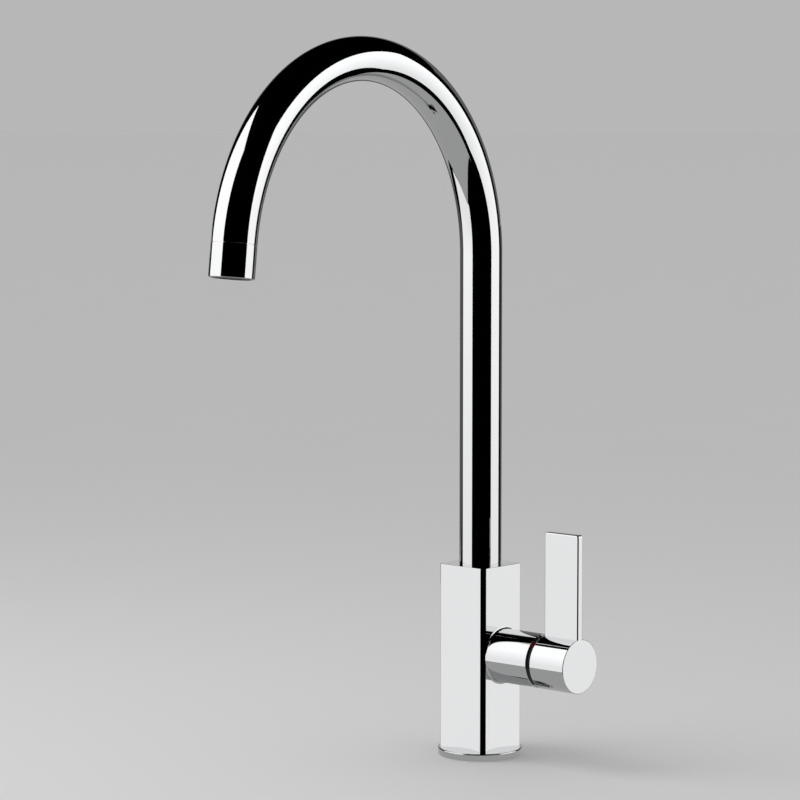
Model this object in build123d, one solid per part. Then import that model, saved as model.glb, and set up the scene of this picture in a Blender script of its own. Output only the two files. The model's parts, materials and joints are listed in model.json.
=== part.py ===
from build123d import *
import math
import os

# Three way filtered water tap, in millimetres.
# Origin: centre of the base's underside, where the tap meets the worktop.
# +Z is up, -Y is the front (towards the sink), +X is the lever's side.

# ---------------------------------------------------------------- clearances
FIT_GAP = 0.05  # radial or end gap between pieces that are screwed, pressed or clipped together
RUNNING_GAP = 0.05  # radial gap where one piece turns in another
FACE_GAP = 0.1  # end gap between faces that turn past each other
FREE_GAP = 0.2  # gap round a piece that only passes through or drops in
TOOL_SPARE = 1.5  # a cutting shape that runs past what it cuts is this many times as large

# ------------------------------------------------------------ water channels
INLET_CIRCLE = 7.5  # radius at which the three inlets stand round the tap's axis
INLET_RADIUS = 4.5  # M10 x 1 inlet thread, at its minor diameter
INLET_DEPTH = 10.0
PORT_CIRCLE = 6.5  # radius at which the five cartridge ports stand round the valve axis
PORT_RADIUS = 2.0
FILTERED_BORE = 1.3  # radius of the filtered water's channel
MIXED_CHANNEL_INSET = 3.0  # how far behind the valve chamber's floor the mixed water rises

# -------------------------------------------------------------- valve stack
VALVE_HEIGHT = 61.9  # height of the lever's axis above the worktop
CARTRIDGE_RADIUS = 12.4
SHELL_WALL = 1.0
CHAMBER_DEPTH = 10.0  # how far the chamber goes into the body's side
SEAL_STAND = 0.5  # how far the cartridge stands off the chamber's floor
SEAL_WALL = 1.2
SEAL_POCKET = 1.2
CARTRIDGE_FLANGE = 3.5
CARTRIDGE_BASE_LENGTH = 11.5
FIXED_DISC_THICKNESS = 3.5
DISC_GAP = 0.05  # water film between the two ceramic discs
MOVING_DISC_THICKNESS = 3.0
DISC_POCKET_DEPTH = 1.5
DISC_MARGIN = 0.8  # gap that is left round the moving disc at either end of its travel
CARRIER_THICKNESS = 3.2
GUIDE_GAP = 0.4
GUIDE_LENGTH = 11.0
SHELL_END_THICKNESS = 1.25
NUT_THICKNESS = 4.8
NUT_RIM = 1.75  # how far the cartridge nut reaches past the cartridge
NUT_WALL = 5.2
NOTCH_WIDTH = 4.0
NOTCH_DEPTH = 1.5
SPIGOT_WALL = 1.35  # wall of the housing where it screws into the body
HOUSING_WALL = 1.8  # wall of the housing at its open end
RING_SEAT = 1.4  # depth at which the index ring sits in the housing
RING_FLANGE = 1.15  # how far the index ring stands out of the housing
RING_LIP = 0.45
RING_WALL = 3.6
MARK_ANGLE = 48.0  # height of the hot and cold marks round the ring, from the horizontal
MARK_SPAN = 20.0
MARK_WIDTH = 0.8
MARK_DEPTH = 0.6
MARK_PROUD = 0.1

# --------------------------------------------------------- lever and its stem
STEM_TILT = 20.0  # how far the lever tilts outwards, in degrees
PIN_RADIUS = 1.5
BALL_RADIUS = 1.8
BALL_GAP = 0.15
BALL_INSET = 1.0  # how far the ball's centre sits inside the carrier's face
ARM_RADIUS = 1.3
BOSS_RADIUS = 3.6
BOSS_REACH = 3.2  # half the boss's length along the pin
STEM_NECK_RADIUS = 3.0
STEM_RADIUS = 4.0
STEM_STEP = 2.0  # how far outside the guide the stem grows to its full radius
STEM_REACH = 13.0  # how far the stem goes into the hub's solid end
STEM_FLAT = 0.8
HUB_GAP = 2.75  # open gap between the housing and the hub
HUB_LENGTH = 25.3
HUB_WALL = 2.5
HUB_HOLLOW = 8.5
HUB_EDGE = 0.45
LEVER_RISE = 77.3  # height of the lever's top above the valve axis
LEVER_THICKNESS = 4.6
LEVER_CORNER = 1.5
LEVER_EDGE = 0.9
GRUB_RADIUS = 2.5
GRUB_SOCKET = 1.25
GRUB_SOCKET_DEPTH = 3.0
CAP_THICKNESS = 0.9
CAP_RIM = 0.6

# ------------------------------------------------------------------- body
BODY_WALL = 4.0  # metal between the valve chamber and the body's faces
BODY_CORNER = 2.4
BODY_EDGE = 0.35
BASE_RIM = 1.46  # how far the base shows past the body's corners
BASE_THICKNESS = 4.5
BASE_EDGE = 0.7
BASE_UNDERCUT = 5.0  # how far the base's side leans in towards its foot, in degrees
FLOOR_WEB = 4.1  # metal between the valve chamber and the spout's socket

# ----------------------------------------------------------- spout's swivel
SPIGOT_RADIUS = 10.0
SPIGOT_BORE = 7.0
SPIGOT_INSERT = 18.0  # how far the spigot goes up into the tube
BUSH_WALL = 1.5
BUSH_LENGTH = 6.0
BUSH_FLANGE = 1.0
SOCKET_LIP = 2.5  # depth of the recess that the tube stands in
SOCKET_FLOOR_GAP = 1.0
SEAL_SPACE = 1.0  # radial space between spigot and socket for the seals
SEAL_GROOVE = 0.9
SEAL_GROOVE_WIDTH = 2.4
SEAL_PITCH = 5.0
SEAL_COUNT = 2
LOCK_ZONE = 9.9
LOCK_RADIUS = 2.0
LOCK_GROOVE = 1.8
LOCK_SOCKET = 1.0
SWING = 100.0  # how far the spout swings each way from straight ahead, in degrees
SWING_SPARE = 0.7

# -------------------------------------------------------------------- spout
TUBE_RADIUS = 12.5
TUBE_WALL = 1.2
COLUMN_HEIGHT = 300.0  # where the straight column ends and the arch begins
ARCH_RADIUS = 113.5
ARCH_ANGLE = 173.0
SPOUT_TURN = 5.2  # how far the spout stands turned towards the lever, in degrees
INNER_TUBE_RADIUS = 3.0
INNER_TUBE_WALL = 0.9
CONNECTOR_FLANGE = 2.0
CONNECTOR_RIM = 0.9
CONNECTOR_DEPTH = 7.0
NIPPLE_LENGTH = 10.0

# ------------------------------------------------------------------- outlet
COLLAR_LENGTH = 18.5
COLLAR_EDGE = 0.6
JOINT_GROOVE = 0.3
LIP_LENGTH = 5.0
LIP_WALL = 1.25
COLLAR_WALL = 1.9
SEAT_DEPTH = 5.0
COLLAR_SEAL_THICKNESS = 0.7
COLLAR_SEAL_WIDTH = 1.9
AERATOR_WALL = 0.9
AERATOR_WEB = 2.0
AERATOR_PROUD = 0.4  # how far the aerator's rim shows past the collar
AERATOR_EDGE = 0.3
JET_COUNT = 12
JET_RADIUS = 1.0
SCREEN_THICKNESS = 1.0
SCREEN_HOLE = 0.55
SCREEN_ROW_COUNT = 3
FIRST_ROW_COUNT = 18
ROW_GROWTH_COUNT = 6
NOZZLE_RADIUS = 3.5
NOZZLE_BORE = 2.1
NOZZLE_HEAD_WALL = 1.2
NOZZLE_SOCKET = 6.0
NOZZLE_INSET = 0.3  # how far the centre nozzle stays inside the aerator's rim
NOZZLE_EDGE = 0.4

# ------------------------------------------------------- shank and fixing set
NECK_DEPTH = 12.0  # how far the shank screws into the body
NECK_WALL = 1.75
SHANK_RADIUS = 16.0
SHANK_WALL = 2.5
SHANK_LENGTH = 60.0
SHOULDER_RECESS = 1.5
GASKET_MARGIN = 2.3
GASKET_WIDTH = 4.0
GASKET_THICKNESS = 1.8
DECK_THICKNESS = 30.0  # worktop that the fixing set stands ready for
DECK_SEAL_THICKNESS = 3.0
DECK_SEAL_WIDTH = 11.0
DECK_WASHER_THICKNESS = 2.5
DECK_WASHER_WIDTH = 10.0
SHANK_NUT_THICKNESS = 8.0
SHANK_NUT_WALL = 4.5

# ------------------------------------------------------------ derived places
# Valve stack, along +X from the chamber's floor.
cartridge_bore = CARTRIDGE_RADIUS + FREE_GAP
chamber_radius = cartridge_bore + SPIGOT_WALL + FIT_GAP
half_body = chamber_radius + BODY_WALL
chamber_floor = half_body - CHAMBER_DEPTH
base_start = chamber_floor + SEAL_STAND
fixed_disc_start = base_start + CARTRIDGE_BASE_LENGTH
moving_disc_start = fixed_disc_start + FIXED_DISC_THICKNESS + DISC_GAP
carrier_start = moving_disc_start + MOVING_DISC_THICKNESS
carrier_end = carrier_start + CARRIER_THICKNESS
guide_start = carrier_end + GUIDE_GAP
guide_end = guide_start + GUIDE_LENGTH
pivot_x = (guide_start + guide_end) / 2
shell_end = guide_end + FACE_GAP + SHELL_END_THICKNESS
nut_start = shell_end + FIT_GAP
nut_end = nut_start + NUT_THICKNESS
housing_end = nut_end + RING_SEAT
ring_end = housing_end + RING_FLANGE
nut_radius = CARTRIDGE_RADIUS + NUT_RIM
nut_bore = nut_radius + FIT_GAP
housing_radius = nut_bore + HOUSING_WALL
shell_bore = CARTRIDGE_RADIUS - SHELL_WALL

# Lever.
hub_start = housing_end + HUB_GAP
hub_end = hub_start + HUB_LENGTH
hub_floor = hub_start + HUB_HOLLOW
ball_x = carrier_end - BALL_INSET
stem_arm = pivot_x - ball_x
disc_travel = stem_arm * math.radians(STEM_TILT)
disc_radius = shell_bore - disc_travel / 2 - DISC_MARGIN
stem_end = hub_floor + STEM_REACH
grub_x = (hub_floor + stem_end) / 2

# Spout's socket, from its floor up to the body's top.
socket_radius = SPIGOT_RADIUS + SEAL_SPACE
socket_floor = VALVE_HEIGHT + chamber_radius + FLOOR_WEB
low_bush_start = socket_floor + SOCKET_FLOOR_GAP
low_bush_end = low_bush_start + BUSH_LENGTH
lock_height = low_bush_end + SEAL_COUNT * SEAL_PITCH + LOCK_ZONE / 2
bush_seat_floor = low_bush_end + SEAL_COUNT * SEAL_PITCH + LOCK_ZONE
lip_floor = bush_seat_floor + BUSH_LENGTH
body_top = lip_floor + SOCKET_LIP
tube_start = lip_floor + BUSH_FLANGE + FACE_GAP
spigot_start = low_bush_start + SOCKET_FLOOR_GAP
bush_radius = SPIGOT_RADIUS + RUNNING_GAP + BUSH_WALL
groove_radius = SPIGOT_RADIUS - SEAL_GROOVE
seal_heights = [low_bush_end + (i + 0.5) * SEAL_PITCH for i in range(SEAL_COUNT)]

# Spout.
tube_bore = TUBE_RADIUS - TUBE_WALL
nipple_radius = INNER_TUBE_RADIUS - INNER_TUBE_WALL - RUNNING_GAP
connector_radius = INNER_TUBE_RADIUS + CONNECTOR_RIM
nipple_start = socket_floor + CONNECTOR_FLANGE
inner_tube_start = nipple_start + FACE_GAP
collar_bore = TUBE_RADIUS - COLLAR_WALL
lip_radius = tube_bore - FREE_GAP
lip_bore = lip_radius - LIP_WALL
aerator_start = SEAT_DEPTH + COLLAR_SEAL_THICKNESS + FIT_GAP
aerator_end = COLLAR_LENGTH + AERATOR_PROUD
nozzle_end = aerator_end - NOZZLE_INSET
aerator_radius = collar_bore - FIT_GAP
aerator_bore = aerator_radius - AERATOR_WALL
inner_tube_end = NOZZLE_SOCKET - FACE_GAP

# Body, shank and fixing set.
corner_reach = math.hypot(half_body, half_body - BODY_CORNER)
base_radius = corner_reach + BASE_RIM
inlet_plane = BASE_THICKNESS + NECK_DEPTH
neck_bore = INLET_CIRCLE + INLET_RADIUS + FREE_GAP
neck_radius = neck_bore + NECK_WALL
recess_radius = SHANK_RADIUS + FREE_GAP
gasket_inner = recess_radius + GASKET_MARGIN
gasket_outer = gasket_inner + GASKET_WIDTH
fixing_bore = SHANK_RADIUS + RUNNING_GAP
deck_seal_top = -DECK_THICKNESS
deck_washer_top = deck_seal_top - DECK_SEAL_THICKNESS
shank_nut_top = deck_washer_top - DECK_WASHER_THICKNESS

INLET_ANGLES = {"hot": -60.0, "cold": 60.0, "filtered": 180.0}
PORT_ANGLES = {"filtered_in": 0.0, "hot": -72.0, "cold": 72.0, "filtered_out": -144.0, "mixed": 144.0}


# ------------------------------------------------------------------ helpers
def rod(radius, low, high):
    """Round bar along Z."""
    return Pos(0, 0, low) * Cylinder(radius, high - low, align=(Align.CENTER, Align.CENTER, Align.MIN))


def ring(outer, inner, low, high):
    """Hollow round bar along Z."""
    return rod(outer, low, high) - rod(inner, low, high)


def on_valve_axis(shape):
    """Lay a shape built along Z on the valve axis, with its +Z along +X."""
    return Pos(0, 0, VALVE_HEIGHT) * Rot(0, 90, 0) * shape


def valve_rod(radius, low, high):
    return on_valve_axis(rod(radius, low, high))


def valve_ring(outer, inner, low, high):
    return on_valve_axis(ring(outer, inner, low, high))


def drill(start, end, radius):
    """Round hole's tool from one point to another."""
    start = Vector(*start)
    run = Vector(*end) - start
    tool = Cylinder(radius, run.length, align=(Align.CENTER, Align.CENTER, Align.MIN))
    return Plane(origin=start, z_dir=run.normalized()) * tool


def inlet_place(name):
    angle = math.radians(INLET_ANGLES[name])
    return INLET_CIRCLE * math.cos(angle), INLET_CIRCLE * math.sin(angle)


def port_place(name):
    """Y and height of a cartridge port, counted round the valve axis from its lowest point."""
    angle = math.radians(PORT_ANGLES[name])
    return PORT_CIRCLE * math.sin(angle), VALVE_HEIGHT - PORT_CIRCLE * math.cos(angle)


def turned(shape):
    """Turn a spout piece from straight ahead to where it stands."""
    return Rot(0, 0, SPOUT_TURN) * shape


def at_outlet(shape):
    """Carry a shape built along +Z from the tube's end to the outlet, in the water's direction."""
    turn = math.radians(ARCH_ANGLE)
    forward = ARCH_RADIUS * (1 - math.cos(turn))
    height = COLUMN_HEIGHT + ARCH_RADIUS * math.sin(turn)
    along = Vector(0, -math.sin(turn), math.cos(turn))
    return Plane(origin=(0, -forward, height), x_dir=(1, 0, 0), z_dir=along) * shape


def arch_pipe(outer, inner, start, tail):
    """Pipe up the column, round the arch and straight on for the tail's length."""
    axis = Axis((0, -ARCH_RADIUS, COLUMN_HEIGHT), (1, 0, 0))
    ground = Plane.XY.offset(COLUMN_HEIGHT)
    bend = revolve(ground * (Circle(outer) - Circle(inner)), axis, ARCH_ANGLE)
    pipe = ring(outer, inner, start, COLUMN_HEIGHT) + bend
    if tail:
        pipe += at_outlet(ring(outer, inner, 0, tail))
    return pipe


# -------------------------------------------------------- base, body, housing
def body_block():
    """Square column with cut corners and softened edges, before any bore."""
    height = body_top - BASE_THICKNESS
    block = Pos(0, 0, BASE_THICKNESS) * Box(
        2 * half_body, 2 * half_body, height, align=(Align.CENTER, Align.CENTER, Align.MIN)
    )
    block = chamfer(block.edges().filter_by(Axis.Z), BODY_CORNER)
    edges = block.edges().filter_by(Axis.Z) + block.faces().sort_by(Axis.Z)[-1].edges()
    return fillet(edges, BODY_EDGE)


def swivel_socket():
    """Stepped bore in the body's top that holds the bushes and the spigot."""
    return (
        rod(socket_radius, socket_floor, body_top)
        + rod(bush_radius + FIT_GAP, bush_seat_floor, body_top)
        + rod(TUBE_RADIUS + FREE_GAP, lip_floor, body_top)
    )


def inlet_bores():
    """Threaded inlets and the channels from them to the cartridge."""
    tools = []
    for name, port in (("hot", "hot"), ("cold", "cold"), ("filtered", "filtered_in")):
        x, y = inlet_place(name)
        port_y, port_z = port_place(port)
        tools.append(Pos(x, y, 0) * rod(INLET_RADIUS, inlet_plane, inlet_plane + INLET_DEPTH))
        tools.append(Pos(x, port_y, 0) * rod(PORT_RADIUS, inlet_plane, port_z + PORT_RADIUS))
        tools.append(drill((x, port_y, port_z), (base_start, port_y, port_z), PORT_RADIUS))
    return tools


def outlet_bores():
    """Channels from the cartridge up to the spout: mixed water, and filtered water on the axis."""
    mixed_y, mixed_z = port_place("mixed")
    mixed_x = chamber_floor - MIXED_CHANNEL_INSET
    clean_y, clean_z = port_place("filtered_out")
    clean_end = socket_floor - CONNECTOR_DEPTH
    return [
        drill((mixed_x, mixed_y, mixed_z), (base_start, mixed_y, mixed_z), PORT_RADIUS),
        Pos(mixed_x, mixed_y, 0) * rod(PORT_RADIUS, mixed_z - PORT_RADIUS, socket_floor),
        drill((base_start, clean_y, clean_z), (0, 0, clean_end), FILTERED_BORE),
        rod(INNER_TUBE_RADIUS + FIT_GAP, clean_end, socket_floor),
    ]


def lock_screw_hole():
    return drill((0, 0, lock_height), (0, half_body, lock_height), LOCK_RADIUS + FIT_GAP)


def make_body():
    body = body_block() - swivel_socket()
    body -= rod(neck_radius + FIT_GAP, BASE_THICKNESS, inlet_plane)
    body -= valve_rod(chamber_radius, chamber_floor, half_body)
    for tool in inlet_bores() + outlet_bores():
        body -= tool
    return body - lock_screw_hole()


def make_base_flange():
    """Round plate under the body, widest at its top, recessed for the shank and the gasket."""
    foot_radius = base_radius - BASE_THICKNESS * math.tan(math.radians(BASE_UNDERCUT))
    plate = Cone(foot_radius, base_radius, BASE_THICKNESS, align=(Align.CENTER, Align.CENTER, Align.MIN))
    plate = fillet(plate.edges().filter_by(GeomType.CIRCLE), BASE_EDGE)
    plate -= rod(neck_radius + FREE_GAP, 0, BASE_THICKNESS)
    plate -= rod(recess_radius, 0, SHOULDER_RECESS)
    return plate - ring(gasket_outer, gasket_inner, 0, GASKET_THICKNESS)


def make_base_gasket():
    return ring(gasket_outer - FIT_GAP, gasket_inner + FIT_GAP, 0, GASKET_THICKNESS - FIT_GAP)


def make_valve_housing():
    """Round sleeve on the body's side, shaped to its cut corners, with a threaded end inside."""
    sleeve = valve_rod(housing_radius, half_body - BODY_CORNER, housing_end)
    sleeve = fillet(sleeve.edges().sort_by(Axis.X)[-1], BODY_EDGE)
    sleeve -= body_block()
    sleeve += valve_rod(chamber_radius - FIT_GAP, base_start + SEAL_STAND, half_body)
    sleeve -= valve_rod(cartridge_bore, chamber_floor, housing_end)
    return sleeve - valve_rod(nut_bore, nut_start - FIT_GAP, housing_end)


# ------------------------------------------------------------------ cartridge
def port_tools(radius, low, high):
    tools = []
    for name in PORT_ANGLES:
        y, z = port_place(name)
        tools.append(drill((low, y, z), (high, y, z), radius))
    return tools


def make_cartridge_base():
    """Foot of the cartridge: flange, plug and five ports with seal pockets."""
    foot = valve_rod(CARTRIDGE_RADIUS, base_start, base_start + CARTRIDGE_FLANGE)
    foot += valve_rod(shell_bore - FIT_GAP, base_start, fixed_disc_start)
    for tool in port_tools(PORT_RADIUS, base_start, fixed_disc_start):
        foot -= tool
    for tool in port_tools(PORT_RADIUS + SEAL_WALL, base_start, base_start + SEAL_POCKET):
        foot -= tool
    return foot


def make_cartridge_seals():
    """Five seal rings, one round each port."""
    rings = []
    outer = PORT_RADIUS + SEAL_WALL - FIT_GAP
    low = chamber_floor + FIT_GAP
    high = base_start + SEAL_POCKET - FIT_GAP
    for name in PORT_ANGLES:
        y, z = port_place(name)
        ring_solid = drill((low, y, z), (high, y, z), outer) - drill((low, y, z), (high, y, z), PORT_RADIUS)
        rings.append(Part() + ring_solid)
    return Compound(children=rings)


def make_cartridge_shell():
    start = base_start + CARTRIDGE_FLANGE + FIT_GAP
    shell = valve_rod(CARTRIDGE_RADIUS, start, shell_end)
    shell -= valve_rod(shell_bore, start, shell_end - SHELL_END_THICKNESS)
    return shell - valve_rod(nut_radius - NUT_WALL, start, shell_end)


def make_fixed_disc():
    low = fixed_disc_start
    high = low + FIXED_DISC_THICKNESS
    disc = valve_rod(shell_bore - 2 * FIT_GAP, low, high)
    for tool in port_tools(PORT_RADIUS, low, high):
        disc -= tool
    return disc


def make_moving_disc():
    """Ceramic disc that joins the ports through a pocket in its face."""
    low = moving_disc_start
    disc = valve_rod(disc_radius, low, carrier_start)
    disc -= valve_rod(disc_radius - 2 * PORT_RADIUS, low, low + DISC_POCKET_DEPTH)
    return Pos(0, 0, -disc_travel / 2) * disc


def make_disc_carrier():
    carrier = Pos(0, 0, -disc_travel / 2) * valve_rod(disc_radius, carrier_start, carrier_end)
    pocket_end = ball_x - BALL_RADIUS - BALL_GAP
    return carrier - valve_rod(BALL_RADIUS + BALL_GAP, pocket_end, carrier_end)


def make_cartridge_nut():
    """Ring nut with four spanner notches that holds the cartridge down."""
    nut = valve_ring(nut_radius, nut_radius - NUT_WALL, nut_start, nut_end - FIT_GAP)
    notch = Pos(nut_end, 0, VALVE_HEIGHT) * Box(2 * NOTCH_DEPTH, NOTCH_WIDTH, 2 * TOOL_SPARE * nut_radius)
    for turn in (0, 90):
        nut -= Pos(0, 0, VALVE_HEIGHT) * Rot(turn, 0, 0) * Pos(0, 0, -VALVE_HEIGHT) * notch
    return nut


def mark_block(side):
    """Curved inlay on the index ring: side is -1 in front and +1 behind."""
    outer = nut_radius + RING_LIP
    low = housing_end + (RING_FLANGE - MARK_WIDTH) / 2
    sector = valve_ring(outer + MARK_PROUD, outer - MARK_DEPTH, low, low + MARK_WIDTH)
    reach = 2 * outer
    half_width = reach * math.tan(math.radians(MARK_SPAN / 2))
    wedge = Plane.YZ * make_face(Polyline((0, 0), (reach, -half_width), (reach, half_width), close=True))
    wedge = extrude(wedge, 2 * ring_end)
    angle = MARK_ANGLE if side > 0 else 180 - MARK_ANGLE
    return sector & (Pos(0, 0, VALVE_HEIGHT) * Rot(angle, 0, 0) * wedge)


def make_index_ring():
    inner = nut_radius - RING_WALL
    band = valve_ring(nut_radius, inner, nut_end, housing_end)
    band += valve_ring(nut_radius + RING_LIP, inner, housing_end, ring_end)
    return band - mark_block(-1) - mark_block(1)


# ------------------------------------------------------------ guide and lever
def across(radius, reach):
    """Round bar along Y through the tilt pivot."""
    return drill((pivot_x, -reach, VALVE_HEIGHT), (pivot_x, reach, VALVE_HEIGHT), radius)


def make_spindle_guide():
    """Turning core of the cartridge, slotted so that the stem can tilt in it."""
    core = valve_rod(shell_bore - RUNNING_GAP, guide_start, guide_end)
    slot_height = 2 * (BOSS_RADIUS + STEM_NECK_RADIUS - FACE_GAP)
    slot_width = 2 * (BOSS_REACH + FACE_GAP)
    core -= Pos(pivot_x, 0, VALVE_HEIGHT) * Box(TOOL_SPARE * GUIDE_LENGTH, slot_width, slot_height)
    return core - across(PIN_RADIUS + FIT_GAP / 2, shell_bore)


def make_stem_pin():
    return across(PIN_RADIUS, shell_bore - 2 * FREE_GAP)


def make_lever_stem():
    """Ball, arm, pivot boss and the bar that carries the hub, with a flat for the grub screw."""
    stem = Pos(ball_x, 0, VALVE_HEIGHT) * Sphere(BALL_RADIUS)
    stem += valve_rod(ARM_RADIUS, ball_x, pivot_x)
    stem += across(BOSS_RADIUS, BOSS_REACH)
    stem += valve_rod(STEM_NECK_RADIUS, pivot_x, stem_end - STEM_FLAT)
    stem += valve_rod(STEM_RADIUS, guide_end + STEM_STEP, stem_end)
    stem -= across(PIN_RADIUS + RUNNING_GAP, STEM_RADIUS)
    flat_top = VALVE_HEIGHT - STEM_RADIUS + STEM_FLAT
    flat_length = 2 * TOOL_SPARE * GRUB_RADIUS
    flat = Pos(grub_x, 0, flat_top - STEM_RADIUS) * Box(flat_length, 2 * STEM_RADIUS, 2 * STEM_RADIUS)
    return stem - flat


def lever_plate():
    """Flat upright blade with rounded corners and edges, from the valve axis up."""
    plate = Pos((hub_start + hub_end) / 2, 0, VALVE_HEIGHT) * Box(
        HUB_LENGTH, LEVER_THICKNESS, LEVER_RISE, align=(Align.CENTER, Align.CENTER, Align.MIN)
    )
    top_corners = plate.faces().sort_by(Axis.Z)[-1].edges().filter_by(Axis.Y)
    plate = fillet(top_corners, LEVER_CORNER)
    outline = plate.faces().sort_by(Axis.Y)[-1].edges() + plate.faces().sort_by(Axis.Y)[0].edges()
    outline = [edge for edge in outline if edge.center().Z > VALVE_HEIGHT + LEVER_EDGE]
    return fillet(outline, LEVER_EDGE)


def grub_hole(radius):
    return drill((grub_x, 0, VALVE_HEIGHT - housing_radius), (grub_x, 0, VALVE_HEIGHT), radius)


def make_handle():
    """Hub and blade in one casting, hollow towards the housing and bored for the stem."""
    hub = valve_rod(housing_radius, hub_start, hub_end)
    hub = fillet(hub.edges().filter_by(GeomType.CIRCLE), HUB_EDGE)
    handle = hub + lever_plate()
    handle -= valve_rod(housing_radius - HUB_WALL, hub_start, hub_floor)
    handle -= valve_rod(STEM_RADIUS + FIT_GAP, hub_floor, stem_end + FREE_GAP)
    cap_top = VALVE_HEIGHT - housing_radius + 2 * CAP_THICKNESS
    cap_seat = Pos(grub_x, 0, 0) * rod(GRUB_RADIUS + CAP_RIM + FIT_GAP, 0, cap_top)
    return handle - grub_hole(GRUB_RADIUS + FIT_GAP) - cap_seat


def make_grub_screw():
    """Headless screw from the hub's underside to the stem's flat, with a hexagon socket."""
    low = VALVE_HEIGHT - housing_radius + 2 * CAP_THICKNESS + FIT_GAP
    high = VALVE_HEIGHT - STEM_RADIUS + STEM_FLAT - FIT_GAP
    screw = Pos(grub_x, 0, 0) * rod(GRUB_RADIUS, low, high)
    socket = extrude(Pos(grub_x, 0, low) * RegularPolygon(GRUB_SOCKET, 6), GRUB_SOCKET_DEPTH)
    return screw - socket


def make_grub_cap():
    """Little round plug, flush with the hub's underside."""
    top = VALVE_HEIGHT - housing_radius + 2 * CAP_THICKNESS
    plug = Pos(grub_x, 0, 0) * rod(GRUB_RADIUS + CAP_RIM, top - 2 * CAP_THICKNESS, top)
    return plug & valve_rod(housing_radius, hub_start, hub_end)


# ------------------------------------------------------------- spout's swivel
def make_upper_bush():
    barrel = ring(bush_radius, SPIGOT_RADIUS + RUNNING_GAP, bush_seat_floor, lip_floor)
    return barrel + ring(TUBE_RADIUS, SPIGOT_RADIUS + RUNNING_GAP, lip_floor, lip_floor + BUSH_FLANGE)


def make_lower_bush():
    return ring(socket_radius - FIT_GAP, SPIGOT_RADIUS + RUNNING_GAP, low_bush_start, low_bush_end)


def lock_slot():
    """Part of a ring groove, open as far as the spout swings; its middle is at the back."""
    half_height = LOCK_RADIUS + FACE_GAP
    floor = SPIGOT_RADIUS - LOCK_GROOVE
    groove = ring(SPIGOT_RADIUS + FREE_GAP, floor, lock_height - half_height, lock_height + half_height)
    screw_reach = math.degrees(math.asin(LOCK_RADIUS / floor))
    closed = 180 - SWING - screw_reach - SWING_SPARE
    reach = 2 * SPIGOT_RADIUS
    side = reach * math.tan(math.radians(closed))
    wedge = make_face(Polyline((0, 0), (side, -reach), (-side, -reach), close=True))
    return groove - extrude(Pos(0, 0, socket_floor) * wedge, body_top)


def make_spout_spigot():
    """Turned brass end of the spout, brazed into the tube, with its grooves and stop slot."""
    spigot = rod(SPIGOT_RADIUS, spigot_start, tube_start)
    spigot += rod(tube_bore - FIT_GAP, tube_start, tube_start + SPIGOT_INSERT)
    spigot -= rod(SPIGOT_BORE, spigot_start, tube_start + SPIGOT_INSERT)
    half_width = SEAL_GROOVE_WIDTH / 2
    for height in seal_heights:
        spigot -= ring(2 * SPIGOT_RADIUS, groove_radius, height - half_width, height + half_width)
    return turned(spigot - lock_slot())


def make_spout_o_rings():
    """Seal rings between the spigot and the socket's wall."""
    section = (socket_radius - groove_radius) / 2 - FIT_GAP
    middle = (socket_radius + groove_radius) / 2
    return Compound(children=[Pos(0, 0, height) * Torus(middle, section) for height in seal_heights])


def make_spout_lock_screw():
    tip = SPIGOT_RADIUS - LOCK_GROOVE + FREE_GAP
    end = half_body - LOCK_SOCKET
    screw = drill((0, tip, lock_height), (0, end, lock_height), LOCK_RADIUS)
    socket = Plane(origin=(0, end, lock_height), z_dir=(0, -1, 0)) * RegularPolygon(LOCK_SOCKET, 6)
    return screw - extrude(socket, 2 * LOCK_SOCKET)


def make_filter_connector():
    """Nipple on the socket's floor that feeds the inner tube."""
    low = socket_floor - CONNECTOR_DEPTH
    top = nipple_start + NIPPLE_LENGTH
    connector = rod(INNER_TUBE_RADIUS, low, socket_floor)
    connector += rod(connector_radius, socket_floor, nipple_start)
    connector += rod(nipple_radius, nipple_start, top)
    return connector - rod(FILTERED_BORE, low, top)


# ----------------------------------------------------------- spout and outlet
def groove_core(side):
    """What the joint's groove leaves: a cone that narrows to the joint, above it (-1) or below it (1)."""
    narrow = TUBE_RADIUS - JOINT_GROOVE
    core = Cone(TUBE_RADIUS, narrow, JOINT_GROOVE) if side < 0 else Cone(narrow, TUBE_RADIUS, JOINT_GROOVE)
    return Pos(0, 0, side * JOINT_GROOVE / 2) * core


def make_spout_tube():
    tube = arch_pipe(TUBE_RADIUS, tube_bore, tube_start, 0)
    return turned(tube - at_outlet(rod(TUBE_RADIUS, -JOINT_GROOVE, 0) - groove_core(-1)))


def make_filtered_water_tube():
    bore = INNER_TUBE_RADIUS - INNER_TUBE_WALL
    return turned(arch_pipe(INNER_TUBE_RADIUS, bore, inner_tube_start, inner_tube_end))


def make_outlet_collar():
    """Threaded end ring of the spout, with a lip that goes up into the tube."""
    collar = rod(TUBE_RADIUS, 0, COLLAR_LENGTH)
    collar = fillet(collar.edges().sort_by(Axis.Z)[-1], COLLAR_EDGE)
    collar -= rod(TUBE_RADIUS, 0, JOINT_GROOVE) - groove_core(1)
    collar += rod(lip_radius, -LIP_LENGTH, 0)
    collar -= rod(lip_bore, -LIP_LENGTH, COLLAR_LENGTH)
    collar -= rod(collar_bore, SEAT_DEPTH, COLLAR_LENGTH)
    return turned(at_outlet(collar))


def make_collar_seal():
    outer = collar_bore - 2 * FIT_GAP
    low = SEAT_DEPTH + FIT_GAP / 2
    high = SEAT_DEPTH + COLLAR_SEAL_THICKNESS
    return turned(at_outlet(ring(outer, outer - COLLAR_SEAL_WIDTH, low, high)))


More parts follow.
